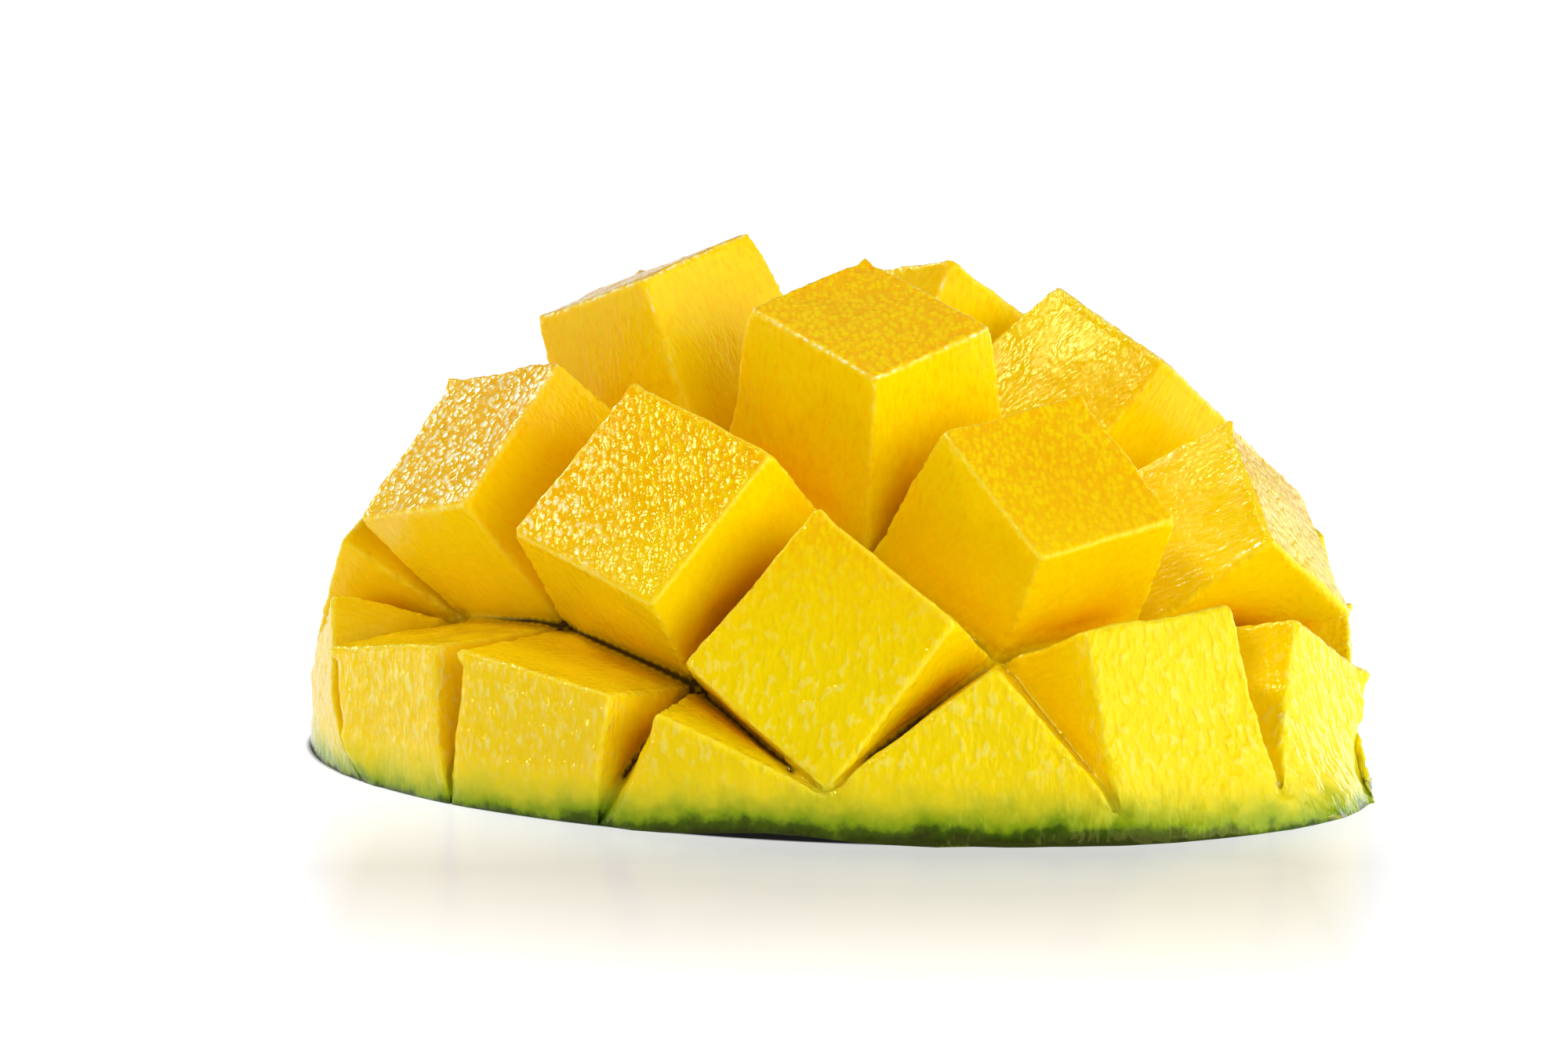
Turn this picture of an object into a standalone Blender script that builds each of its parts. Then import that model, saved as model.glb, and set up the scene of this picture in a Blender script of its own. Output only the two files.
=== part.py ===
"""Half a mango, scored into blocks and turned inside out, at its real size.

The flat face of the half was cut across in two directions at 45 degrees, down to the skin, and the
skin was then pushed up from below. It is now a hollow dome that stands on its rim, and the blocks of
flesh fan out over it. Metres, +Z up, the photographed side faces -Y.
"""

from math import cos, hypot, radians, sin, sqrt

import bmesh
import bpy
from mathutils import Matrix, Vector, noise

MM = 0.001

# The knife.
BLOCK_WIDTH = 17.1 * MM
HALF_DIAGONAL = BLOCK_WIDTH / sqrt(2)
# Cuts of the first direction lie at odd u + v. Those that the hand set off their even spacing:
CUT_SHIFT = {-1: 1.9 * MM, 1: -0.5 * MM, 3: -4.4 * MM}

# The half before it was turned out: its flat face, in half diagonals, and its depth of flesh.
FACE_CENTRE = (-0.1, 0.75)
FACE_HALF_LENGTH = 4.7
FACE_HALF_WIDTH = 3.9
FACE_TURN = radians(-28)
FLESH_DEPTH = 22.3 * MM
DEPTH_ROUNDNESS = 0.7
# Where less flesh than this is left under the knife, the cuts close up towards the rim.
CLOSING_DEPTH = 3.0 * MM

# Skin with the flesh that the knife left on it.
SHELL_THICKNESS = 3.2 * MM
SKIRT_DROP = 22.0 * MM

# The rim on the floor: an oval, longer towards the right front.
RIM_CENTRE = (-0.1 * MM, 2.0 * MM)
RIM_HALF_LENGTH = 53.0 * MM
RIM_HALF_WIDTH = 34.9 * MM
RIM_TURN = radians(-23)
# The far side of the oval is fuller by this share.
RIM_FAR_FULLNESS = 0.22
# Up to this height the flesh takes on the rim's oval.
RIM_HEIGHT = 9.0 * MM

# The surface: slow waves of the cut faces, a small round on their edges, and how finely it is divided.
WAVE_HEIGHT = 0.3 * MM
WAVE_LENGTH = 7.0 * MM
EDGE_ROUND = 0.5 * MM
# Edges that stand out by more than this angle get the round.
SHARP_ANGLE = radians(35)
# Edges longer than this are divided, by this many cuts.
LONG_EDGE = 3.0 * MM
FACE_CUTS = 3
# Corners closer than this are one point.
MERGE_DISTANCE = 0.01 * MM
# The block that cuts off all below the floor.
FLOOR_CUTTER_SIZE = 220 * MM
FLESH_COLOUR = (0.87, 0.50, 0.01, 1)
FLESH_ROUGHNESS = 0.35
# The middle of the finished shape's box, which the origin is put under.
BOX_MIDDLE = (-0.522 * MM, 5.974 * MM)

# How each block stands: the place of its cut face's middle in millimetres (right, back, up), then its
# lean to the right and to the back and its twist, in degrees. Cells are named (u, v), in half
# diagonals right of and behind the middle block.
BLOCKS = {
    # The side that faces the viewer, from the top row down to the rim.
    (-1, 1): ((-19.0, 19.0, 45.5), (-22, 2, 0)),
    (1, 1): ((31.5, 19.5, 37.0), (39, 7, 1)),
    (0, 0): ((3.0, -3.0, 43.5), (3, -24, -1)),
    (-2, 0): ((-36.0, 1.0, 31.0), (-38, -22, 1)),
    (2, 0): ((44.0, -0.5, 23.5), (53, -15, -17)),
    (-1, -1): ((-18.0, -17.5, 28.5), (-18, -47, 0)),
    (1, -1): ((20.0, -17.5, 30.5), (12, -37, -11)),
    (-3, -1): ((-42.0, -10.0, 5.0), (-66, -55, 2)),
    (3, -1): ((46.0, -16.0, 6.0), (66, -41, -16)),
    (-2, -2): ((-28.5, -22.5, 5.0), (-48, -73, 3)),
    (0, -2): ((-2.0, -28.5, 16.5), (-17, -65, -6)),
    (2, -2): ((30.0, -29.5, 11.0), (32, -65, -14)),
    (-1, -3): ((-12.5, -30.5, -0.5), (-13, -89, 9)),
    (1, -3): ((11.5, -34.5, 3.0), (-2, -80, -8)),
    # The ends.
    (-3, 1): ((-45.7, 15.5, 19.0), (-58, 15, 0)),
    (-4, 0): ((-49.0, 3.0, 5.0), (-84, -10, 0)),
    (3, 1): ((47.0, 17.0, 13.5), (70, 18, -15)),
    (4, 0): ((50.5, 1.0, 2.0), (84, -10, -15)),
    # The far side, which carries on in the same way.
    (0, 2): ((12.0, 30.0, 41.0), (18, 30, -4)),
    (-2, 2): ((-36.0, 31.0, 27.0), (-43, 36, 0)),
    (2, 2): ((36.5, 32.0, 18.0), (54, 45, -6)),
    (-1, 3): ((-12.0, 42.0, 29.0), (-12, 55, 0)),
    (1, 3): ((22.0, 41.0, 25.0), (24, 58, -4)),
    (-3, 3): ((-33.0, 41.0, 8.0), (-48, 60, 0)),
    (-4, 2): ((-47.0, 25.0, 4.0), (-76, 34, 0)),
    (0, 4): ((4.0, 47.0, 9.0), (2, 82, 0)),
}

# A cell's corners: left, near, right and far, anticlockwise from above.
CORNERS = ((-1, 0), (0, -1), (1, 0), (0, 1))


def on_cut_face(u, v):
    """A lattice point's place on the flat face before the half was turned out."""
    first = (u + v) * HALF_DIAGONAL + CUT_SHIFT.get(u + v, 0)
    second = (u - v) * HALF_DIAGONAL
    return Vector(((first + second) / 2, (first - second) / 2, 0))


def turned_flat(x, y, angle):
    return x * cos(angle) - y * sin(angle), x * sin(angle) + y * cos(angle)


def flesh_depth(u, v):
    """How deep the knife went here: most in the middle, nothing at the rim."""
    along, across = turned_flat(u - FACE_CENTRE[0], v - FACE_CENTRE[1], -FACE_TURN)
    inside = 1 - (along / FACE_HALF_LENGTH) ** 2 - (across / FACE_HALF_WIDTH) ** 2
    return FLESH_DEPTH * max(0, inside) ** DEPTH_ROUNDNESS


def turned(lean_right, lean_back, twist):
    """The turn of a block that leans by these angles."""
    lean = hypot(lean_right, lean_back)
    axis = Vector((-lean_back, lean_right, 0)) / lean
    return Matrix.Rotation(radians(lean), 3, axis) @ Matrix.Rotation(radians(twist), 3, "Z")


def outer_corners():
    """Each block's own four corners of the cut face, by (cell, lattice point)."""
    corners = {}
    for cell, (middle, lean) in BLOCKS.items():
        turn = turned(*lean)
        for step in CORNERS:
            point = (cell[0] + step[0], cell[1] + step[1])
            offset = on_cut_face(*point) - Vector((*cell, 0)) * HALF_DIAGONAL
            corners[cell, point] = Vector(middle) * MM + turn @ offset
    return corners


def cut_depths(outer):
    """The knife's depth at every lattice point, and none on the border, where cells are missing."""
    cells_at = {}
    for cell, point in outer:
        cells_at[point] = cells_at.get(point, 0) + 1
    return {point: flesh_depth(*point) if cells == 4 else 0 for point, cells in cells_at.items()}


def meeting_points(outer, depths):
    """Where the cuts end: the blocks round a lattice point share one point on the skin."""
    shared = {}
    for (cell, point), corner in outer.items():
        down = turned(*BLOCKS[cell][1]) @ Vector((0, 0, -1))
        shared.setdefault(point, []).append(corner + down * depths[point])
    return {point: sum(found, Vector()) / len(found) for point, found in shared.items()}


def close_cuts(outer, meeting, depths):
    """Near the rim the knife hardly went in, so the blocks' corners draw together there."""
    for (cell, point), corner in outer.items():
        own = min(1, depths[point] / CLOSING_DEPTH)
        outer[cell, point] = meeting[point].lerp(corner, own)


def sheet_of_skin(meeting):
    """The skin's outer side as one sheet, a quad for each cell, with a skirt down past the floor."""
    mesh = bmesh.new()
    u_of, v_of = (mesh.verts.layers.int.new(name) for name in "uv")
    cell_of = mesh.faces.layers.int.new("cell")
    points = {}
    for point, place in meeting.items():
        points[point] = mesh.verts.new(place)
        points[point][u_of], points[point][v_of] = point
    for number, (u, v) in enumerate(BLOCKS, 1):
        face = mesh.faces.new([points[u + du, v + dv] for du, dv in CORNERS])
        face[cell_of] = number
    fill_notches(mesh)
    border = [edge for edge in mesh.edges if edge.is_boundary]
    skirt = bmesh.ops.extrude_edge_only(mesh, edges=border)["geom"]
    low = [item for item in skirt if isinstance(item, bmesh.types.BMVert)]
    bmesh.ops.translate(mesh, verts=low, vec=(0, 0, -SKIRT_DROP))
    for face in skirt:
        if isinstance(face, bmesh.types.BMFace):
            face[cell_of] = 0
    bmesh.ops.recalc_face_normals(mesh, faces=mesh.faces[:])
    top = max(mesh.faces, key=lambda face: face.calc_center_median().z)
    if top.normal.z < 0:
        bmesh.ops.reverse_faces(mesh, faces=mesh.faces[:])
    return mesh


def fill_notches(mesh):
    """Closes the steps in the lattice's border, where three cells meet and the fourth is past the rim."""
    for corner in [vertex for vertex in mesh.verts if len(vertex.link_faces) == 3]:
        border = [edge for edge in corner.link_edges if edge.is_boundary]
        mesh.faces.new([corner, *(edge.other_vert(corner) for edge in border)])


def give_thickness(mesh):
    """Adds the skin's inner side, a shell's thickness below the outer one."""
    border = [edge for edge in mesh.edges if edge.is_boundary]
    cell_of = mesh.faces.layers.int["cell"]
    mesh.normal_update()
    inside_of = mesh.verts.layers.float.new("inside")
    copy = bmesh.ops.duplicate(mesh, geom=mesh.verts[:] + mesh.edges[:] + mesh.faces[:])
    inner = [item for item in copy["geom"] if isinstance(item, bmesh.types.BMFace)]
    for vertex in {vertex for face in inner for vertex in face.verts}:
        vertex.co -= vertex.normal * SHELL_THICKNESS
        vertex[inside_of] = 1
    for face in inner:
        face[cell_of] = 0
    bmesh.ops.reverse_faces(mesh, faces=inner)
    inner_border = [edge for edge in mesh.edges if edge.is_boundary and edge not in border]
    bmesh.ops.bridge_loops(mesh, edges=border + inner_border)


def raise_blocks(mesh, outer):
    """Stands a block of flesh on each cell, up to its own corners of the cut face."""
    u_of, v_of = (mesh.verts.layers.int[name] for name in "uv")
    cell_of = mesh.faces.layers.int["cell"]
    cells = list(BLOCKS)
    cut_faces = [face for face in mesh.faces if face[cell_of]]
    raised = bmesh.ops.extrude_discrete_faces(mesh, faces=cut_faces)["faces"]
    for face in raised:
        cell = cells[face[cell_of] - 1]
        for vertex in face.verts:
            vertex.co = outer[cell, (vertex[u_of], vertex[v_of])]
    bmesh.ops.remove_doubles(mesh, verts=mesh.verts[:], dist=MERGE_DISTANCE)


def round_edges(mesh):
    """Takes the sharpness off the blocks' edges and divides every face for the relief."""
    sharp = [edge for edge in mesh.edges if is_block_edge(edge)]
    bmesh.ops.bevel(
        mesh, geom=sharp, offset=EDGE_ROUND, segments=1, profile=0.5, affect="EDGES", material=-1
    )
    long_edges = [edge for edge in mesh.edges if edge.calc_length() > LONG_EDGE]
    bmesh.ops.subdivide_edges(mesh, edges=long_edges, cuts=FACE_CUTS, use_grid_fill=True)
    bmesh.ops.triangulate(mesh, faces=mesh.faces[:])


def is_block_edge(edge):
    """True on the edges of a cut face, which stand out, and not in the cuts or inside the shell."""
    return edge.is_convex and edge.calc_face_angle(0) > SHARP_ANGLE and edge.verts[0].co.z > 0


def take_on_rim(mesh):
    """Draws the lowest flesh and the skin under it to the rim's oval."""
    inside_of = mesh.verts.layers.float["inside"]
    for vertex in mesh.verts:
        pull = min(1, 1 - vertex.co.z / RIM_HEIGHT)
        if pull > 0:
            rim = rim_point(vertex.co, SHELL_THICKNESS * vertex[inside_of])
            vertex.co.xy = vertex.co.xy.lerp(rim, pull**2)


def rim_point(place, inset):
    """The point of the rim's oval, or of one that much inside it, straight out from the middle."""
    x, y = place.x - RIM_CENTRE[0], place.y - RIM_CENTRE[1]
    along, across = turned_flat(x, y, -RIM_TURN)
    reach = hypot(along / (RIM_HALF_LENGTH - inset), across / (RIM_HALF_WIDTH - inset))
    reach /= 1 + RIM_FAR_FULLNESS * max(0, y / hypot(x, y)) ** 2
    return Vector((RIM_CENTRE[0] + x / reach, RIM_CENTRE[1] + y / reach))


def wave_surface(mesh):
    """Gives the cut faces the slow waves that a knife leaves in soft flesh."""
    inside_of = mesh.verts.layers.float["inside"]
    mesh.normal_update()
    for vertex in mesh.verts:
        wave = WAVE_HEIGHT * noise.noise(vertex.co / WAVE_LENGTH)
        vertex.co += vertex.normal * wave * (1 - vertex[inside_of])


def add_object(name, mesh):
    data = bpy.data.meshes.new(name)
    mesh.to_mesh(data)
    mesh.free()
    added = bpy.data.objects.new(name, data)
    bpy.context.collection.objects.link(added)
    return added


def floor_cutter():
    """All that would reach below the floor."""
    mesh = bmesh.new()
    place = Matrix.Translation((0, 0, -FLOOR_CUTTER_SIZE / 2))
    bmesh.ops.create_cube(mesh, size=FLOOR_CUTTER_SIZE, matrix=place)
    cutter = add_object("floor_cutter", mesh)
    cutter.hide_render = True
    cutter.display_type = "WIRE"
    return cutter


def flesh_material():
    material = bpy.data.materials.new("mango_flesh")
    material.use_nodes = True
    shader = material.node_tree.nodes["Principled BSDF"]
    shader.inputs["Base Color"].default_value = FLESH_COLOUR
    shader.inputs["Roughness"].default_value = FLESH_ROUGHNESS
    shader.inputs["Metallic"].default_value = 0
    return material


def build_mango():
    outer = outer_corners()
    depths = cut_depths(outer)
    meeting = meeting_points(outer, depths)
    close_cuts(outer, meeting, depths)
    mesh = sheet_of_skin(meeting)
    give_thickness(mesh)
    raise_blocks(mesh, outer)
    round_edges(mesh)
    take_on_rim(mesh)
    wave_surface(mesh)
    bmesh.ops.translate(mesh, verts=mesh.verts[:], vec=(-BOX_MIDDLE[0], -BOX_MIDDLE[1], 0))
    mango = add_object("mango_cheek", mesh)
    mango.data.materials.append(flesh_material())
    cut = mango.modifiers.new("stand_on_rim", "BOOLEAN")
    cut.operation = "DIFFERENCE"
    cut.object = floor_cutter()
    return mango


for item in list(bpy.data.objects):
    bpy.data.objects.remove(item)
build_mango()
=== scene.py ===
"""The looks of a scored and turned-out mango half: wet yellow flesh, green skin, on a white table.

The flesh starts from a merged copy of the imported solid. Its faces are divided finely, smoothed and
given the relief of cut mango: beads on the cut faces, where the fibres end, and streaks on the sides
of the blocks, along the fibres. Metres, +Z up, the photographed side faces -Y.

Five marks on the mesh's points tell the materials where they are. cut is 1 on the blocks' tops, and
skin on the hollow's wall and the ring below. open is the share of the room that a point sees. edge
and valley rise to 1 at the blocks' edges and at the bottom of the cuts.
"""

from math import cos, pi, radians, sin, sqrt
from types import SimpleNamespace

import bmesh
import bpy
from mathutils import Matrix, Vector, noise
from mathutils.bvhtree import BVHTree
from mathutils.kdtree import KDTree


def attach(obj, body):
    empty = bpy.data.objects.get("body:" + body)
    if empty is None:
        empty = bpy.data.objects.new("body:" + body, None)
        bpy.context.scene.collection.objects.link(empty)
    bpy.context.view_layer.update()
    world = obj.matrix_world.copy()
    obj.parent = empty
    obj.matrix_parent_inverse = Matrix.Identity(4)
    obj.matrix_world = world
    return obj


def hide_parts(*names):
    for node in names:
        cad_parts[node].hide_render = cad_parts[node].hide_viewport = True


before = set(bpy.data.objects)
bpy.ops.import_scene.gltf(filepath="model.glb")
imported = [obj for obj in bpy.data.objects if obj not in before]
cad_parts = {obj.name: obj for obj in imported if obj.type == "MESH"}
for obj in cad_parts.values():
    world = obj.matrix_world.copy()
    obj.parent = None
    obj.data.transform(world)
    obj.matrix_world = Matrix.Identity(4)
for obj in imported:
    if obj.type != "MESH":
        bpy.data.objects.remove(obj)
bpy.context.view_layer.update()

MM = 0.001
NODE = "mango_cheek"

# The fruit's fibres run from the skin to the cut face. Turned out, they fan from about this point,
# and a pattern that follows them has its true size this far from it.
FAN_CENTRE = Vector((0.5, 12.0, -5.0)) * MM
FAN_REACH = 42 * MM

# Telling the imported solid's faces apart.
MERGE_DISTANCE = 0.002 * MM
FLAT_ANGLE = radians(24)
CUT_FACE_AREA = 90 * MM**2
CUT_FACE_FACING = 0.72
WALL_FACING = -0.5
EDGE_ANGLE = radians(28)
CHAMFER_WIDTH = 1.0 * MM
FLOOR_HEIGHT = 0.02 * MM

# Looking out from each point, to tell the open faces from the depths of the cuts.
LOOKS = 60
LOOK_START = 0.3 * MM
LOOK_REACH = 30 * MM

# How long the mesh's edges are on each part of the surface. The far side's are longer.
LIP_GRAIN = 0.45 * MM
CUT_FACE_GRAIN = 0.48 * MM
SIDE_GRAIN = 1.25 * MM
SKIN_GRAIN = 2.6 * MM
VALLEY_GRAIN = 0.8 * MM
FAR_COARSENESS = 1.7
FAR_START = 12 * MM
FAR_REACH = 12 * MM
DIVIDING_ROUNDS = 5
LONGEST_SHARE = 1.35

# From which share of skin a point is smoothed and kept as skin, is divided as skin, and is all skin.
PART_SKIN = 0.5
MOSTLY_SKIN = 0.9
ALL_SKIN = 0.99

# Smoothing: many passes away from the blocks' edges, few on them.
POINT_STEP = 0.25 * MM
EDGE_ZONE = 1.0 * MM
VALLEY_ZONE = 1.5 * MM
SMOOTHING = 0.5
FACE_PASSES = 26
EDGE_PASSES = 1

# Relief, in real sizes. The beads are on the upper cut faces, and the lower ones are pitted.
RELIEF_FULL = 2 * MM
BEAD_PITCH = 0.95 * MM
BEAD_LENGTHENING = 3
BEAD_RADIUS = 0.7
BEAD_HEIGHT = 0.04 * MM
BEADS_FROM = 16 * MM
BEADS_FULL = 27 * MM
DIMPLE_PITCH = 1.3 * MM
DIMPLE_HEIGHT = 0.14 * MM
STREAK_WIDTH = 1.6 * MM
STREAK_HEIGHT = 0.06 * MM
STREAK_LENGTHENING = 5
DENT_PITCH = 6.0 * MM
DENT_HEIGHT = 0.20 * MM
LIP_START = 0.62
LIP_HEIGHT = 0.13 * MM
NICK_PITCH = 0.8 * MM
NICK_DEPTH = 0.16 * MM
VALLEY_DEPTH = 0.6 * MM
TIP_HEIGHT = 0.6 * MM
TIP_REACH = 1.3 * MM

# The rim doesn't quite reach the table in the middle of the front.
GAP_MIDDLE = -4.5 * MM
GAP_REACH = 11 * MM
GAP_HEIGHT = 0.62 * MM
GAP_FADE = 3.5 * MM

# The oval that the fruit stands on.
OVAL_LENGTH = 53.9 * MM
OVAL_WIDTH = 39.1 * MM
OVAL_TURN = radians(-24)

# The table's half width, in metres. It runs out of the picture on all sides.
TABLE_REACH = 6.0

# The camera, at the photo's angle.
CAMERA_TARGET = Vector((-4.178, -8.974, 24.2)) * MM
CAMERA_DISTANCE = 440 * MM
CAMERA_RISE = radians(8)
CAMERA_LENS = 107.4
SENSOR_WIDTH = 36.0
NEAREST_SEEN = 0.01
FARTHEST_SEEN = 20.0

# Options of nodes that come up often, and plain white.
COLOURS = {"data_type": "RGBA"}
PLUS = {"operation": "ADD"}
MINUS = {"operation": "SUBTRACT"}
TIMES = {"operation": "MULTIPLY"}
OVER = {"operation": "DIVIDE"}
TIMES_PLUS = {"operation": "MULTIPLY_ADD"}
LENGTH = {"operation": "LENGTH"}
WHITE = (1, 1, 1, 1)

# The grains of the flesh. The fibres and the cells follow the fan, the pits stand upright. The fruit's
# own fibres and cells are finer, and are drawn as coarse as they need to be to show.
FIBRE_PITCH = 0.45 * MM
FIBRE_LENGTHENING = 3.5
CELL_PITCH = 0.54 * MM
CELL_LENGTHENING = 2.5
CELL_STRETCH = (1.2, 0.55, 0.6)
CELL_DISORDER = 0.9
CELL_LEVEL = 0.65
CELL_UNEVENNESS = 0.7
PIT_WIDTH = 0.65 * MM
PIT_SHAPE = (1.0, 1.0, 0.45)
GRAIN_DETAIL = 1.5

# A span says from where to where a value runs, and what it then gives: 0 to 1 if that isn't said.
BEADED = (BEADS_FROM, BEADS_FULL, 0.12, 1.0)
PITTED = (2 * MM, 7 * MM, 0.15, 1.0)

# A spot's level above the skin: its height in these steps, made uneven, and raised at both ends,
# where the green is thinner.
LEVEL_HEIGHT = 24 * MM
UNEVEN_SIZE = 3.0 * MM
UNEVEN_DETAIL = 3.0
UNEVEN_ROUGHNESS = 0.62
UNEVEN = (0.25, 0.75, -0.8 * MM, 0.8 * MM)
THIN_LEFT = (-8 * MM, -28 * MM, 0.0, 0.055)
THIN_RIGHT = (22 * MM, 46 * MM, 0.0, 0.06)

# The shades of the flesh, each with the span of the value that brings it in.
PATCH_SIZE = 14 * MM
PATCH_DETAIL = 1.0
PATCHES = ((0.30, "#FFDD00"), (0.52, "#FFD800"), (0.72, "#FFCF00"))
PALE_FIBRES = ("#FFE40C", (0.52, 0.72, 0.0, 0.35))
DEEP_FIBRES = ("#FFB600", (0.48, 0.30, 0.0, 0.35))
# Painted shade: deeper orange between the beads of the upper cut faces.
PAINTED_BEAD_SHADE = ("#F0A000", (0.95, 0.60, 0.12, 0.55))
RIPER_LEFT = ("#FFB800", (0.0, -30 * MM, 0.0, 0.25))
LEMON = "#FFDC02"
# Painted shade: a darker lemon for the left end.
SHADED_LEMON = "#F6D20A"
LEFT_SHADE_ACROSS = (-6 * MM, -20 * MM)
LEMON_LEVELS = (1.30, 0.50, 0.0, 1.0)
# Painted glints: pale flecks on the pits of the lower cut faces at the left.
PAINTED_PIT_GLINTS = ("#FFF49A", (0.54, 0.66))
PIT_GLINTS_ACROSS = (-22 * MM, -36 * MM, 0.30, 0.55)
PIT_GLINTS_HEIGHT = (20 * MM, 12 * MM, 0.45, 1.0)
# Painted highlights: nearly white on the beads of the leftmost blocks.
PAINTED_BEAD_HIGHLIGHTS = ("#FFF8D8", (0.80, 0.98))
BEAD_HIGHLIGHTS_ACROSS = (-17 * MM, -26 * MM, 0.0, 0.70)
GREENS = (
    (0.025, "#26340A"),
    (0.055, "#3E5A08"),
    (0.080, "#86A014"),
    (0.14, "#CCC626"),
    (0.26, "#F6E018"),
)
GREEN_LEVELS = (0.28, 0.14)
# Painted shade in the cuts: darker amber and brown the less of the room a spot sees.
CUT_SHADE_COLOURS = ((0.02, "#7A4400"), (0.08, "#CC8200"), (0.20, "#FFB800"))
CUT_SHADE_SPAN = (0.28, 0.10, 0.0, 0.70)
# Painted shadow: dark brown along the cuts' bottoms, low on the fruit, where the blocks above close
# them.
SLIT_SHADOWS = ("#421A00", (0.60, 0.90, 0.0, 0.95))
SLIT_SHADOW_HEIGHT = (22 * MM, 17 * MM)
SLIT_SHADOW_RIGHT = (15 * MM, 8 * MM, 0.25, 1.0)
SLIT_SHADOW_LEFT = (-33 * MM, -29 * MM)
SLIT_SHADOW_SHUT = (0.56, 0.44)
# Painted highlight: the blocks' edges paler, more where they see more of the room.
PAINTED_EDGE_HIGHLIGHTS = ("#FFEE70", (0.70, 1.0, 0.0, 0.28))
# Painted glints: a string of white spots on the topmost edges.
PAINTED_EDGE_GLINTS = ("#FFFBE4", (0.78, 0.98))
EDGE_GLINTS_HEIGHT = (35 * MM, 40 * MM, 0.0, 0.75)
EDGE_GLINTS_STRUNG = (0.48, 0.62)

# The relief that is too fine for the mesh: how much each grain counts, and how deep it all is.
CELL_RISE = 0.42
SIDE_FIBRES = (0.0, 1.0, 0.40, 0.0)
EDGE_GRIT = (0.2, 0.9, 0.35, 1.2)
PIT_RISE = 1.3
FINE_DEPTH = 0.20 * MM

# How the flesh takes the light. It is wettest on the cut faces, and tints what it mirrors yellow.
FLESH_IOR = 1.45
FLESH_GLOW = 0.6
GLOW_RADII = (1.0, 0.8, 0.15)
GLOW_SCALE = 1.2 * MM
FLESH_SHINE = 0.38
SHINE_TINT = "#FFF484"
WET_SIZE = 2.2 * MM
WET_DETAIL = 1.0
WET_ROUGHNESS = (0.3, 0.7, 0.06, 0.20)
SIDE_ROUGHNESS = (0.0, 1.0, 0.10, 0.0)

# The skin: its blotches, its pores and its leathery relief.
SKIN_IOR = 1.45
BLOTCH_SIZE = 9 * MM
BLOTCH_DETAIL = 3.0
BLOTCHES = ((0.30, "#274A12"), (0.55, "#3C6418"), (0.75, "#5B7F22"))
PORE_PITCH = 2.6 * MM
PORES = ("#B9BF6A", (0.16, 0.08, 0.0, 0.8))
SKIN_ROUGHNESS = (0.3, 0.7, 0.32, 0.48)
LEATHER_PITCH = 0.8 * MM
LEATHER_DETAIL = 2.0
LEATHER_DEPTH = 0.1 * MM
LEATHER_STRENGTH = 0.3

# The table. It glows, with a painted dark shadow below the fruit and painted shade in front of it.
ACRYLIC = "#6C6C6A"
# Painted contact shadow: the dark colour below the fruit, and its soft edge.
PAINTED_CONTACT_SHADOW = "#0C0A06"
CONTACT_SHADOW_EDGE = (-1.0 * MM, -0.4 * MM)
ACRYLIC_ROUGHNESS = 0.25
ACRYLIC_SHINE = 0.15
SHADE_AHEAD = (-20 * MM, -50 * MM, 0.0, 115 * MM)
SHADE_BESIDE = (54 * MM, 40 * MM)
SHADE = (-90 * MM, 4 * MM, 0.58, 1.0)
TABLE_GLOW = 0.90
LEAST_GLOW = 0.01

# The room's brightness by how steeply one looks up, and its lights: the way to each from the fruit,
# its width in degrees, its strength and its colour.
ROOM = (0.05, 0.40, 0.7, 0.05)
LIGHTS = {
    "softbox_right": ((0.64, -0.62, 0.14), 60, 1.54, "#F8FFF4"),
    "softbox_far_right": ((0.95, -0.15, 0.20), 60, 1.68, "#F8FFF4"),
    "softbox_left": ((-0.98, -0.10, 0.05), 3.5, 0.22, "#FFFAF4"),
    "softbox_front": ((0.00, -0.98, 0.15), 90, 0.50, "#FFF4E8"),
    "softbox_above": ((0.10, 0.10, 0.98), 90, 0.25, "#FFF4E8"),
    "window_above_left": ((-0.56, -0.08, 0.82), 8, 1.05, "#FFFAF4"),
    "lamp_behind_left": ((-0.57, 0.50, 0.64), 10, 1.1, "#FFFFFF"),
    "lamp_behind_right": ((0.66, 0.73, 0.15), 24, 0.32, "#FFFFFF"),
}


# ---------------------------------------------------------------- the flesh's mesh


def merged_copy(node):
    """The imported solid's triangles with their shared corners joined."""
    mesh = bmesh.new()
    mesh.from_mesh(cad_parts[node].data)
    bmesh.ops.remove_doubles(mesh, verts=mesh.verts[:], dist=MERGE_DISTANCE)
    return mesh


def spread(starts, joined):
    """All faces reached from these over edges for which joined(face, edge, other) is true."""
    found = set(starts)
    waiting = list(starts)
    while waiting:
        face = waiting.pop()
        for edge in face.edges:
            for other in edge.link_faces:
                if other not in found and joined(face, edge, other):
                    found.add(other)
                    waiting.append(other)
    return found


def on_floor(face):
    """Whether the face lies flat on the table."""
    return all(vertex.co.z < FLOOR_HEIGHT for vertex in face.verts)


def skin_faces(mesh):
    """The hollow's wall and the ring that stands on the floor."""
    ring = {face for face in mesh.faces if on_floor(face)}
    dome = [face for face in mesh.faces if face not in ring and face.normal.z < WALL_FACING]
    inmost = min(dome, key=lambda face: face.calc_center_median().xy.length)
    wall = spread([inmost], lambda face, edge, other: other not in ring)
    return wall, ring


def facing(face):
    """How squarely a face looks away from the fan's centre, from -1 to 1."""
    outward = (face.calc_center_median() - FAN_CENTRE).normalized()
    return face.normal.dot(outward)


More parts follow.
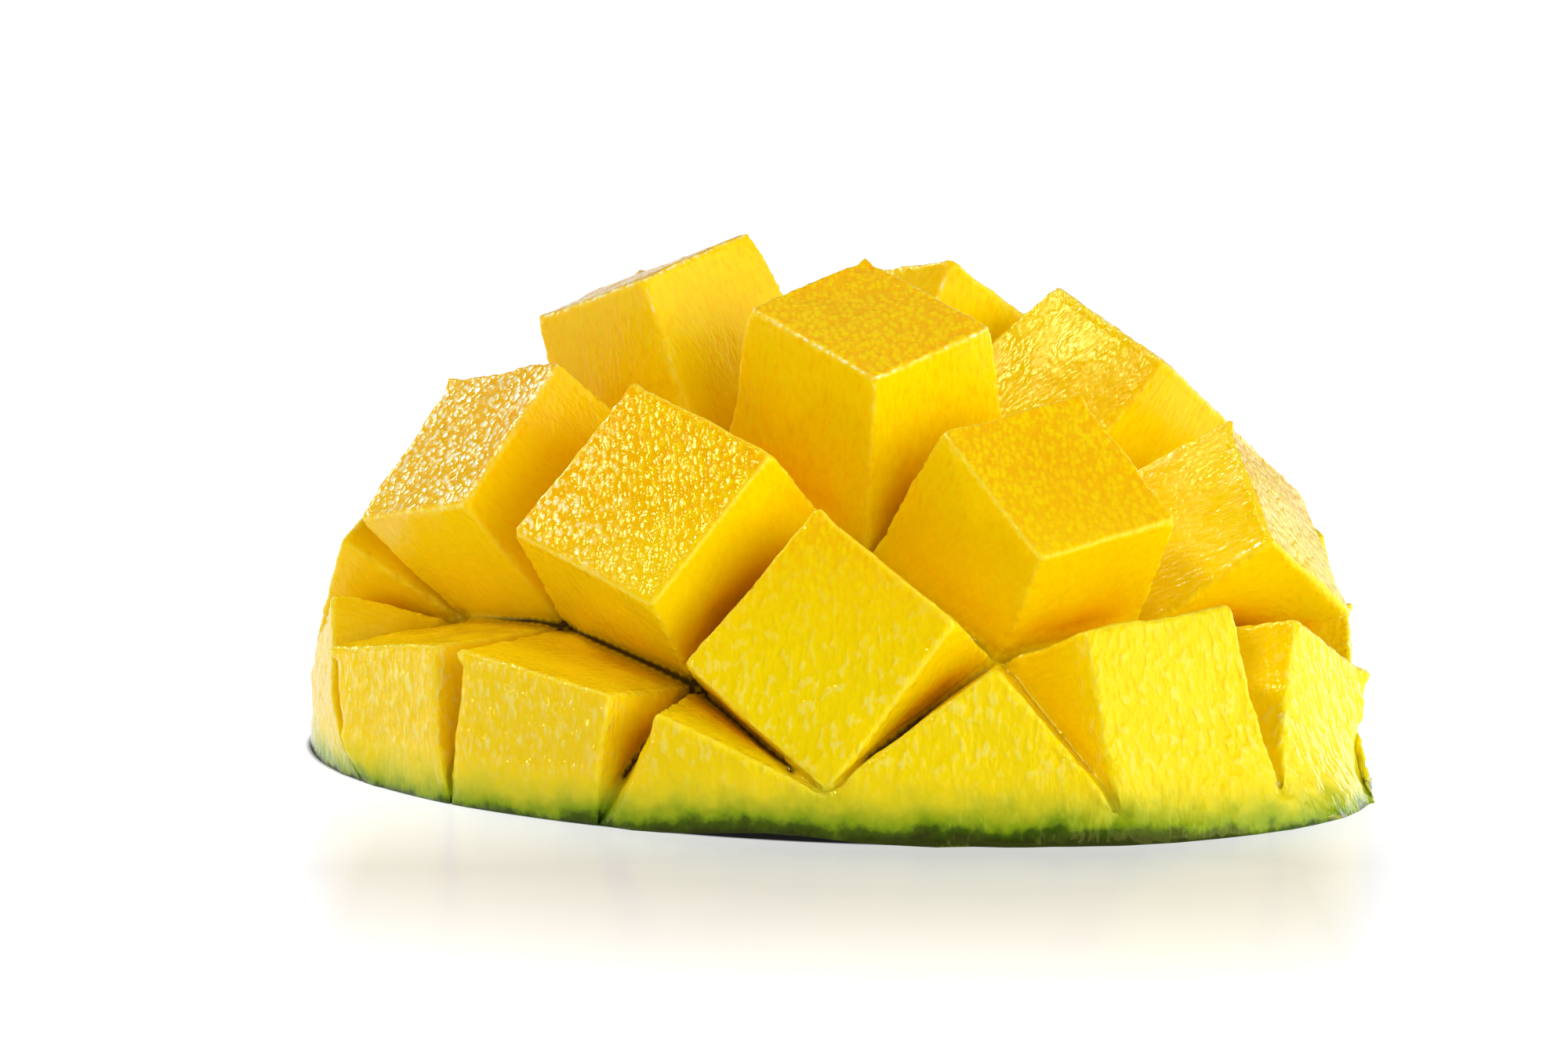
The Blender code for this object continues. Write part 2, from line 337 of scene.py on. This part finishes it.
def cut_faces(mesh, skin):
    """The faces of the blocks' tops, which were the half's flat face, as one set for each block."""
    left = {face for face in mesh.faces if face not in skin}
    tops = []
    for start in mesh.faces:
        if start not in left:
            continue
        patch = spread(
            [start],
            lambda face, edge, other: other in left and edge.calc_face_angle(0) < FLAT_ANGLE,
        )
        left -= patch
        area = sum(face.calc_area() for face in patch)
        looks = sum(facing(face) * face.calc_area() for face in patch) / area
        if area > CUT_FACE_AREA and looks > CUT_FACE_FACING:
            tops.append(patch)
    return tops


def mark_surface(mesh):
    """Writes on every vertex whether it is on a cut face or on skin. Gives the rearmost corners."""
    wall, ring = skin_faces(mesh)
    tops = cut_faces(mesh, wall | ring)
    cut_of = mesh.verts.layers.float.new("cut")
    skin_of = mesh.verts.layers.float.new("skin")
    tips = []
    for patch in tops:
        corners = {vertex for face in patch for vertex in face.verts}
        for vertex in corners:
            vertex[cut_of] = 1
        tips.append(max(corners, key=lambda vertex: vertex.co.y + vertex.co.z).co.copy())
    for vertex in {vertex for face in wall | ring for vertex in face.verts}:
        vertex[skin_of] = 1
    return tips


def look_directions():
    """Directions spread evenly by a spiral over the upper half of a ball, more of them upright."""
    found = []
    for number in range(LOOKS):
        away = sqrt((number + 0.5) / LOOKS)
        turn = number * pi * (3 - sqrt(5))
        found.append(Vector((away * cos(turn), away * sin(turn), sqrt(1 - away * away))))
    return found


def mark_openness(mesh):
    """Writes on every vertex how much it sees of the room: 1 on a free face, less in a cut."""
    mesh.normal_update()
    solid = BVHTree.FromBMesh(mesh)
    open_of = mesh.verts.layers.float.new("open")
    directions = look_directions()
    for vertex in mesh.verts:
        turn = vertex.normal.to_track_quat("Z", "X")
        start = vertex.co + vertex.normal * LOOK_START
        free = 0
        for direction in directions:
            free += solid.ray_cast(start, turn @ direction, LOOK_REACH)[0] is None
        vertex[open_of] = free / LOOKS


def is_block_edge(edge, skin_of):
    """Whether this edge stands out between a block's faces."""
    if not edge.is_convex or edge.calc_face_angle(0) < EDGE_ANGLE:
        return False
    return not any(vertex[skin_of] for vertex in edge.verts)


def ridge_points(mesh, step):
    """Points along the middle of the narrow faces that round the blocks' edges in the solid."""
    skin_of = mesh.verts.layers.float["skin"]
    found = []
    for face in mesh.faces:
        longest = max(edge.calc_length() for edge in face.edges)
        if 2 * face.calc_area() / longest > CHAMFER_WIDTH:
            continue
        sharp = [edge for edge in face.edges if is_block_edge(edge, skin_of)]
        if not sharp:
            continue
        along = max(sharp, key=lambda edge: edge.calc_length())
        across = [edge for edge in face.edges if edge != along]
        start, end = ((edge.verts[0].co + edge.verts[1].co) / 2 for edge in across)
        count = max(1, int((end - start).length / step))
        found += [start.lerp(end, number / count) for number in range(count + 1)]
    return found


def valley_points(mesh, step):
    """Points along the lines where the knife's cuts end between the blocks."""
    skin_of = mesh.verts.layers.float["skin"]
    found = []
    for edge in mesh.edges:
        if edge.is_convex or edge.calc_face_angle(0) < EDGE_ANGLE:
            continue
        if any(vertex[skin_of] for vertex in edge.verts):
            continue
        start, end = (vertex.co for vertex in edge.verts)
        count = max(1, int((end - start).length / step))
        found += [start.lerp(end, number / count) for number in range(count + 1)]
    return found


def tree_of(points):
    """The points, sorted so that the nearest to a place is quickly found."""
    tree = KDTree(len(points))
    for number, point in enumerate(points):
        tree.insert(point, number)
    tree.balance()
    return tree


def grain_at(vertex, cut_of, skin_of, ridges, valleys):
    """How long an edge may be here."""
    if vertex[skin_of] > MOSTLY_SKIN:
        return SKIN_GRAIN
    grain = SIDE_GRAIN + (CUT_FACE_GRAIN - SIDE_GRAIN) * vertex[cut_of]
    gap = ridges.find(vertex.co)[2]
    grain = LIP_GRAIN + (grain - LIP_GRAIN) * min(1, gap / EDGE_ZONE)
    if valleys.find(vertex.co)[2] < VALLEY_ZONE:
        grain = min(grain, VALLEY_GRAIN)
    far = min(1, max(0, (vertex.co.y - FAR_START) / FAR_REACH))
    return grain * (1 + (FAR_COARSENESS - 1) * far)


def drop_doubled_faces(mesh):
    """Halving thin faces leaves a few of them back to back. Without those the mesh is closed."""
    same = {}
    for face in mesh.faces:
        same.setdefault(frozenset(face.verts), []).append(face)
    doubled = [face for faces in same.values() if len(faces) > 1 for face in faces]
    bmesh.ops.delete(mesh, geom=doubled, context="FACES")


def divide(mesh, ridges, valleys):
    """Halves the edges that are too long until all are as short as their place asks."""
    cut_of = mesh.verts.layers.float["cut"]
    skin_of = mesh.verts.layers.float["skin"]
    for _ in range(DIVIDING_ROUNDS):
        grain = {v: grain_at(v, cut_of, skin_of, ridges, valleys) for v in mesh.verts}
        long = [
            edge
            for edge in mesh.edges
            if edge.calc_length() > LONGEST_SHARE * min(grain[v] for v in edge.verts)
        ]
        if not long:
            break
        bmesh.ops.subdivide_edges(mesh, edges=long, cuts=1)
        wide = [face for face in mesh.faces if len(face.verts) > 3]
        bmesh.ops.triangulate(mesh, faces=wide, quad_method="BEAUTY", ngon_method="BEAUTY")
    drop_doubled_faces(mesh)


def smooth(mesh, ridges, valleys):
    """Marks the points near the blocks' edges and the cuts' bottoms, and smooths the surface."""
    skin_of = mesh.verts.layers.float["skin"]
    near_edge = mesh.verts.layers.float.new("edge")
    near_valley = mesh.verts.layers.float.new("valley")
    flat, outer = [], []
    for vertex in mesh.verts:
        gap = ridges.find(vertex.co)[2]
        vertex[near_edge] = max(0, 1 - gap / EDGE_ZONE)
        vertex[near_valley] = max(0, 1 - valleys.find(vertex.co)[2] / VALLEY_ZONE)
        if vertex.co.z < FLOOR_HEIGHT:
            continue
        outer.append(vertex)
        if gap > EDGE_ZONE or vertex[skin_of] > PART_SKIN:
            flat.append(vertex)
    for verts, passes in ((flat, FACE_PASSES), (outer, EDGE_PASSES)):
        for _ in range(passes):
            bmesh.ops.smooth_vert(
                mesh,
                verts=verts,
                factor=SMOOTHING,
                use_axis_x=True,
                use_axis_y=True,
                use_axis_z=True,
            )


def fanned(place, pitch, lengthening):
    """Coordinates that follow the fibres: across them at this pitch, along them stretched."""
    out = place - FAN_CENTRE
    reach = out.length
    across = FAN_REACH / (reach * pitch)
    along = (reach - FAN_REACH) / (reach * pitch * lengthening)
    return out * across + out * along


def beads(place):
    """Rounded grains that stand on a flat face."""
    nearest = noise.voronoi(fanned(place, BEAD_PITCH, BEAD_LENGTHENING))[0][0]
    return max(0, 1 - (nearest / BEAD_RADIUS) ** 2) ** 2


def part_between(value, low, high):
    """How far the value has come from low to high, from 0 to 1."""
    return min(1, max(0, (value - low) / (high - low)))


def add_relief(mesh, tips):
    """Moves the flesh's points out or in by the forms of cut fruit, and none that touch the table."""
    cut_of = mesh.verts.layers.float["cut"]
    skin_of = mesh.verts.layers.float["skin"]
    near_edge = mesh.verts.layers.float["edge"]
    near_valley = mesh.verts.layers.float["valley"]
    mesh.normal_update()
    for vertex in mesh.verts:
        if vertex[skin_of] > PART_SKIN or vertex.co.z < FLOOR_HEIGHT:
            continue
        place = vertex.co
        cut = vertex[cut_of]
        beaded = part_between(place.z, BEADS_FROM, BEADS_FULL)
        rise = DENT_HEIGHT * noise.noise(place / DENT_PITCH)
        rise += cut * beaded * BEAD_HEIGHT * beads(place)
        rise += cut * (1 - beaded) * DIMPLE_HEIGHT * noise.noise(place / DIMPLE_PITCH)
        streaks = noise.noise(fanned(place, STREAK_WIDTH, STREAK_LENGTHENING))
        rise += (1 - cut) * STREAK_HEIGHT * streaks
        edge = vertex[near_edge]
        rise += edge * NICK_DEPTH * noise.noise(place / NICK_PITCH)
        rise += part_between(edge, LIP_START, 1.0) * LIP_HEIGHT
        rise += TIP_HEIGHT * (1 - part_between(tips.find(place)[2], 0, TIP_REACH)) ** 2
        rise -= vertex[near_valley] * VALLEY_DEPTH
        vertex.co = place + vertex.normal * rise * part_between(place.z, 0, RELIEF_FULL)


def lift_rim(mesh):
    """Raises the front of the rim a little, as an arch over the table."""
    for vertex in mesh.verts:
        place = vertex.co
        beside = abs(place.x - GAP_MIDDLE) / GAP_REACH
        if beside >= 1 or place.y > 0 or place.z > GAP_FADE:
            continue
        arch = (1 + cos(pi * beside)) / 2
        place.z += GAP_HEIGHT * arch * (1 - place.z / GAP_FADE)


def mango():
    """The half as one closed mesh. Its first material is the flesh, its second the skin."""
    mesh = merged_copy(NODE)
    tips = tree_of(mark_surface(mesh))
    mark_openness(mesh)
    ridges = tree_of(ridge_points(mesh, POINT_STEP))
    valleys = tree_of(valley_points(mesh, POINT_STEP))
    divide(mesh, ridges, valleys)
    smooth(mesh, ridges, valleys)
    add_relief(mesh, tips)
    lift_rim(mesh)
    for face in mesh.faces:
        face.smooth = True
    skin_of = mesh.verts.layers.float["skin"]
    for face in mesh.faces:
        face.material_index = int(all(vertex[skin_of] > ALL_SKIN for vertex in face.verts))
    data = bpy.data.meshes.new("mango_flesh_and_skin")
    mesh.to_mesh(data)
    mesh.free()
    piece = bpy.data.objects.new("mango_flesh_and_skin", data)
    bpy.context.scene.collection.objects.link(piece)
    data.materials.append(wet_flesh())
    data.materials.append(green_skin())
    return piece


# ---------------------------------------------------------------- materials


def hex_colour(text):
    """An sRGB hex colour as linear RGBA."""
    parts = [int(text[i : i + 2], 16) / 255 for i in (1, 3, 5)]
    linear = [c / 12.92 if c <= 0.04045 else ((c + 0.055) / 1.055) ** 2.4 for c in parts]
    return (*linear, 1)


def set_stops(ramp, stops):
    """Gives a ramp these positions and hex colours."""
    while len(ramp.elements) < len(stops):
        ramp.elements.new(1.0)
    for element, (position, colour) in zip(ramp.elements, stops):
        element.position = position
        element.color = hex_colour(colour)


def add(tree, kind, settings, *values, **named):
    """Adds a node with its settings and its inputs, given in order or by name.

    An input is a value, an output or a node, which stands for the first of its outputs in use.
    """
    node = tree.nodes.new("ShaderNode" + kind)
    for name, value in settings.items():
        if name == "stops":
            set_stops(node.color_ramp, value)
        else:
            setattr(node, name, value)
    pairs = list(zip((socket for socket in node.inputs if socket.enabled), values))
    pairs += [(node.inputs[name.replace("_", " ")], value) for name, value in named.items()]
    for socket, value in pairs:
        if isinstance(value, bpy.types.Node):
            value = next(output for output in value.outputs if output.enabled)
        if isinstance(value, bpy.types.NodeSocket):
            tree.links.new(value, socket)
        else:
            socket.default_value = value
    return node


def new_material(name):
    material = bpy.data.materials.new(name)
    material.use_nodes = True
    material.node_tree.nodes.clear()
    return material, material.node_tree


def fan_coordinates(tree, place, pitch, lengthening):
    """Coordinates that follow the fibres, one unit for each pitch across them."""
    out = add(tree, "VectorMath", MINUS, place, FAN_CENTRE)
    reach = add(tree, "VectorMath", LENGTH, out)
    far = FAN_REACH / pitch
    near = far * (1 - 1 / lengthening)
    scale = add(tree, "MapRange", {"clamp": False}, reach, 0.0, FAN_REACH, near, far)
    way = add(tree, "VectorMath", {"operation": "NORMALIZE"}, out)
    return add(tree, "VectorMath", {"operation": "SCALE"}, Vector=way, Scale=scale)


def flesh_spot(tree):
    """What the flesh's shades and relief depend on at a spot: its place, its marks and its grains."""
    place = add(tree, "TexCoord", {}).outputs["Object"]
    axes = add(tree, "SeparateXYZ", {}, place).outputs
    spot = SimpleNamespace(place=place, across=axes["X"], height=axes["Z"])
    for mark in ("cut", "open", "edge", "valley"):
        setattr(spot, mark, add(tree, "Attribute", {"attribute_name": mark}).outputs["Fac"])

    # Fibres, end on in the cut faces and lengthwise on the sides.
    along = fan_coordinates(tree, place, FIBRE_PITCH, FIBRE_LENGTHENING)
    spot.fibres = add(tree, "TexNoise", {}, Vector=along, Scale=1.0, Detail=GRAIN_DETAIL)

    # Cells full of juice, round and uneven, longer from front to back.
    fan = fan_coordinates(tree, place, CELL_PITCH, CELL_LENGTHENING)
    stretched = add(tree, "VectorMath", TIMES, fan, CELL_STRETCH)
    nearest = add(tree, "TexVoronoi", {}, Vector=stretched, Scale=1.0, Randomness=CELL_DISORDER)
    fallen = add(tree, "Math", TIMES, nearest, nearest)
    rounded = add(tree, "Math", MINUS, CELL_LEVEL, fallen)
    spot.cells = add(tree, "Math", TIMES_PLUS, spot.fibres, CELL_UNEVENNESS, rounded)

    # Beads on the upper cut faces, and upright pits on the lower ones, but not on the rim.
    spot.beaded = add(tree, "Math", TIMES, spot.cut, add(tree, "MapRange", {}, spot.height, *BEADED))
    unbeaded = add(tree, "Math", MINUS, spot.cut, spot.beaded)
    spot.pitted = add(tree, "Math", TIMES, unbeaded, add(tree, "MapRange", {}, spot.height, *PITTED))
    upright = add(tree, "VectorMath", TIMES, place, PIT_SHAPE)
    spot.pits = add(tree, "TexNoise", {}, Vector=upright, Scale=1 / PIT_WIDTH, Detail=GRAIN_DETAIL)

    # The level above the skin.
    uneven = add(
        tree,
        "TexNoise",
        {},
        Vector=place,
        Scale=1 / UNEVEN_SIZE,
        Detail=UNEVEN_DETAIL,
        Roughness=UNEVEN_ROUGHNESS,
    )
    shift = add(tree, "MapRange", {}, uneven, *UNEVEN)
    level = add(tree, "Math", OVER, add(tree, "Math", PLUS, spot.height, shift), LEVEL_HEIGHT)
    for thin in (THIN_LEFT, THIN_RIGHT):
        level = add(tree, "Math", PLUS, level, add(tree, "MapRange", {}, spot.across, *thin))
    spot.level = level
    return spot


def shaded(tree, colour, shade, value, *shares):
    """The colour with a shade laid over it where the value is in its span, times these shares."""
    hue, reach = shade
    share = add(tree, "MapRange", {}, value, *reach)
    for other in shares:
        share = add(tree, "Math", TIMES, share, other)
    return add(tree, "Mix", COLOURS, share, colour, hex_colour(hue))


def ripe_yellow(tree, spot):
    """Riper patches, fibres, and painted shade of deeper orange between the beads."""
    patches = add(
        tree, "TexNoise", {}, Vector=spot.place, Scale=1 / PATCH_SIZE, Detail=PATCH_DETAIL
    )
    colour = add(tree, "ValToRGB", {"stops": PATCHES}, patches)
    colour = shaded(tree, colour, PALE_FIBRES, spot.fibres)
    colour = shaded(tree, colour, DEEP_FIBRES, spot.fibres)
    return shaded(tree, colour, PAINTED_BEAD_SHADE, spot.cells, spot.beaded)


def lemon_below(tree, spot, colour):
    """The flesh turns lemon towards the skin, with painted shade making it darker at the left, where
    it is riper higher up.
    """
    colour = shaded(tree, colour, RIPER_LEFT, spot.across)
    left_shade = add(tree, "MapRange", {}, spot.across, *LEFT_SHADE_ACROSS)
    near_skin = add(tree, "Mix", COLOURS, left_shade, hex_colour(LEMON), hex_colour(SHADED_LEMON))
    lemon = add(tree, "MapRange", {}, spot.level, *LEMON_LEVELS)
    return add(tree, "Mix", COLOURS, lemon, colour, near_skin)


def painted_glints(tree, spot, colour):
    """Painted glints fleck the lower cut faces at the left, and painted highlights lie on the beads of
    the leftmost blocks.
    """
    left = add(tree, "MapRange", {}, spot.across, *PIT_GLINTS_ACROSS)
    low = add(tree, "MapRange", {}, spot.height, *PIT_GLINTS_HEIGHT)
    colour = shaded(tree, colour, PAINTED_PIT_GLINTS, spot.pits, left, low, spot.pitted)
    # Painted highlights on the beads of the leftmost blocks.
    leftmost = add(tree, "MapRange", {}, spot.across, *BEAD_HIGHLIGHTS_ACROSS)
    return shaded(tree, colour, PAINTED_BEAD_HIGHLIGHTS, spot.cells, leftmost, spot.beaded)


def green_rim(tree, spot, colour):
    """Next to the skin the flesh turns lime, then dark green."""
    green = add(tree, "ValToRGB", {"stops": GREENS}, spot.level)
    greening = add(tree, "MapRange", {}, spot.level, *GREEN_LEVELS)
    return add(tree, "Mix", COLOURS, greening, colour, green)


def painted_cut_shade(tree, spot, colour):
    """Painted shade in the cuts: amber where a spot sees little of the room, and a painted dark brown
    shadow along the bottoms that the blocks above close.
    """
    cut_shade = add(tree, "ValToRGB", {"stops": CUT_SHADE_COLOURS}, spot.open)
    deep = add(tree, "MapRange", {}, spot.open, *CUT_SHADE_SPAN)
    colour = add(tree, "Mix", COLOURS, deep, colour, cut_shade)
    # A painted shadow along the bottoms of the closed cuts.
    low = add(tree, "MapRange", {}, spot.height, *SLIT_SHADOW_HEIGHT)
    inside = [add(tree, "MapRange", {}, spot.across, *side) for side in (SLIT_SHADOW_RIGHT, SLIT_SHADOW_LEFT)]
    shut = add(tree, "MapRange", {}, spot.open, *SLIT_SHADOW_SHUT)
    return shaded(tree, colour, SLIT_SHADOWS, spot.valley, low, *inside, shut)


def painted_edge_light(tree, spot, colour):
    """Painted highlights make the blocks' edges paler where they see more of the room, and the topmost
    edges carry a string of painted white glints.
    """
    colour = shaded(tree, colour, PAINTED_EDGE_HIGHLIGHTS, spot.edge, spot.open)
    # Painted glints strung along the topmost edges.
    topmost = add(tree, "MapRange", {}, spot.height, *EDGE_GLINTS_HEIGHT)
    strung = add(tree, "MapRange", {}, spot.fibres, *EDGE_GLINTS_STRUNG)
    return shaded(tree, colour, PAINTED_EDGE_GLINTS, spot.edge, topmost, strung)


def flesh_colour(tree, spot):
    """Ripe yellow with one layer after another laid over it."""
    colour = ripe_yellow(tree, spot)
    for layer in (lemon_below, painted_glints, green_rim, painted_cut_shade, painted_edge_light):
        colour = layer(tree, spot, colour)
    return colour


def flesh_relief(tree, spot):
    """Beads on the cut faces, fibres on the sides, pits low down and grit on the edges."""
    beads_here = add(tree, "Math", TIMES, add(tree, "Math", TIMES, spot.cells, spot.beaded), CELL_RISE)
    on_side = add(tree, "MapRange", {}, spot.cut, *SIDE_FIBRES)
    smooth_part = add(tree, "Math", TIMES_PLUS, spot.fibres, on_side, beads_here)
    grit = add(tree, "MapRange", {}, spot.edge, *EDGE_GRIT)
    rough = add(tree, "Math", TIMES_PLUS, spot.pitted, PIT_RISE, grit)
    relief = add(tree, "Math", TIMES_PLUS, spot.pits, rough, smooth_part)
    return add(tree, "Bump", {}, Height=relief, Strength=1.0, Distance=FINE_DEPTH)


def wet_flesh():
    """Ripe mango flesh, cut with a sharp knife: wet, see-through to a few millimetres, and fibrous."""
    material, tree = new_material("ripe_mango_flesh")
    spot = flesh_spot(tree)
    wet = add(tree, "TexNoise", {}, Vector=spot.place, Scale=1 / WET_SIZE, Detail=WET_DETAIL)
    wetness = add(tree, "MapRange", {}, wet, *WET_ROUGHNESS)
    drier = add(tree, "MapRange", {}, spot.cut, *SIDE_ROUGHNESS)
    shader = add(
        tree,
        "BsdfPrincipled",
        {"subsurface_method": "RANDOM_WALK"},
        Base_Color=flesh_colour(tree, spot),
        Roughness=add(tree, "Math", PLUS, wetness, drier),
        Normal=flesh_relief(tree, spot),
        IOR=FLESH_IOR,
        Subsurface_Weight=FLESH_GLOW,
        Subsurface_Radius=GLOW_RADII,
        Subsurface_Scale=GLOW_SCALE,
        Specular_IOR_Level=FLESH_SHINE,
        Specular_Tint=hex_colour(SHINE_TINT),
    )
    add(tree, "OutputMaterial", {}, Surface=shader)
    return material


def green_skin():
    """The fruit's own skin, waxy and leathery: blotched dark green with pale pores, half glossy."""
    material, tree = new_material("waxy_green_skin")
    place = add(tree, "TexCoord", {}).outputs["Object"]
    blotches = add(
        tree, "TexNoise", {}, Vector=place, Scale=1 / BLOTCH_SIZE, Detail=BLOTCH_DETAIL
    )
    pores = add(tree, "TexVoronoi", {}, Vector=place, Scale=1 / PORE_PITCH, Randomness=1.0)
    greens = add(tree, "ValToRGB", {"stops": BLOTCHES}, blotches)
    leather = add(
        tree, "TexNoise", {}, Vector=place, Scale=1 / LEATHER_PITCH, Detail=LEATHER_DETAIL
    )
    shader = add(
        tree,
        "BsdfPrincipled",
        {},
        Base_Color=shaded(tree, greens, PORES, pores),
        Roughness=add(tree, "MapRange", {}, blotches, *SKIN_ROUGHNESS),
        Normal=add(
            tree, "Bump", {}, Height=leather, Strength=LEATHER_STRENGTH, Distance=LEATHER_DEPTH
        ),
        IOR=SKIN_IOR,
    )
    add(tree, "OutputMaterial", {}, Surface=shader)
    return material


def white_acrylic():
    """White acrylic lit from below, as a table for photographs is: even away from the fruit, with a
    faint soft gloss, a painted dark shadow below the fruit and painted shade in front of it.
    """
    material, tree = new_material("white_acrylic")
    place = add(tree, "TexCoord", {}).outputs["Object"]
    axes = add(tree, "SeparateXYZ", {}, place).outputs

    # How far a spot is from the oval that the fruit stands on.
    turned = add(tree, "Mapping", {}, Vector=place, Rotation=(0, 0, -OVAL_TURN))
    shares = add(tree, "VectorMath", TIMES, turned, (1 / OVAL_LENGTH, 1 / OVAL_WIDTH, 0))
    past_oval = add(tree, "Math", MINUS, add(tree, "VectorMath", LENGTH, shares), 1.0)
    gap = add(tree, "Math", TIMES, past_oval, add(tree, "VectorMath", LENGTH, place))
    # Painted contact shadow: dark below the fruit, with a soft edge.
    outside_shadow = add(tree, "MapRange", {}, gap, *CONTACT_SHADOW_EDGE)

    # The fruit's painted soft shade and reflection, which reaches far to the front.
    ahead = add(tree, "MapRange", {}, axes["Y"], *SHADE_AHEAD)
    beside = add(tree, "Math", {"operation": "ABSOLUTE"}, axes["X"])
    shade = add(tree, "Math", TIMES, ahead, add(tree, "MapRange", {}, beside, *SHADE_BESIDE))
    lit = add(tree, "MapRange", {}, add(tree, "Math", MINUS, gap, shade), *SHADE)

    lit_part = add(tree, "Math", TIMES, outside_shadow, lit)
    shader = add(
        tree,
        "BsdfPrincipled",
        {},
        Base_Color=add(tree, "Mix", COLOURS, outside_shadow, hex_colour(PAINTED_CONTACT_SHADOW), hex_colour(ACRYLIC)),
        Emission_Strength=add(tree, "Math", TIMES_PLUS, lit_part, TABLE_GLOW, LEAST_GLOW),
        Emission_Color=WHITE,
        Roughness=ACRYLIC_ROUGHNESS,
        Specular_IOR_Level=ACRYLIC_SHINE,
    )
    add(tree, "OutputMaterial", {}, Surface=shader)
    return material


# ---------------------------------------------------------------- studio


def white_floor():
    """A flat square, wide enough to fill the picture."""
    mesh = bmesh.new()
    bmesh.ops.create_grid(mesh, x_segments=1, y_segments=1, size=TABLE_REACH)
    data = bpy.data.meshes.new("table")
    mesh.to_mesh(data)
    mesh.free()
    table = bpy.data.objects.new("table", data)
    bpy.context.scene.collection.objects.link(table)
    data.materials.append(white_acrylic())
    return table


def white_room():
    """A white room, brighter towards the horizon."""
    world = bpy.data.worlds.new("white_room")
    world.use_nodes = True
    tree = world.node_tree
    way = add(tree, "TexCoord", {}).outputs["Generated"]
    rise = add(tree, "SeparateXYZ", {}, way).outputs["Z"]
    strength = add(tree, "MapRange", {}, rise, *ROOM)
    background = tree.nodes["Background"]
    background.inputs["Color"].default_value = WHITE
    tree.links.new(strength.outputs["Result"], background.inputs["Strength"])
    bpy.context.scene.world = world


def soft_light(name, way, width, strength, colour):
    """A distant softbox in this direction from the fruit, this many degrees wide."""
    data = bpy.data.lights.new(name, "SUN")
    data.angle = radians(width)
    data.energy = strength
    data.color = hex_colour(colour)[:3]
    light = bpy.data.objects.new(name, data)
    light.location = Vector(way)
    light.rotation_euler = (-Vector(way)).to_track_quat("-Z", "Y").to_euler()
    bpy.context.scene.collection.objects.link(light)


def camera():
    """A long lens a little above the fruit, looking at the photographed side."""
    data = bpy.data.cameras.new("camera")
    data.lens = CAMERA_LENS
    data.sensor_width = SENSOR_WIDTH
    data.clip_start = NEAREST_SEEN
    data.clip_end = FARTHEST_SEEN
    taker = bpy.data.objects.new("camera", data)
    away = Vector((0, -cos(CAMERA_RISE), sin(CAMERA_RISE)))
    taker.location = CAMERA_TARGET + away * CAMERA_DISTANCE
    taker.rotation_euler = (-away).to_track_quat("-Z", "Y").to_euler()
    bpy.context.scene.collection.objects.link(taker)
    bpy.context.scene.camera = taker


flesh = mango()
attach(flesh, "root")
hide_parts(NODE)
white_floor()
white_room()
for name, light in LIGHTS.items():
    soft_light(name, *light)
camera()
bpy.context.scene.view_settings.view_transform = "Standard"
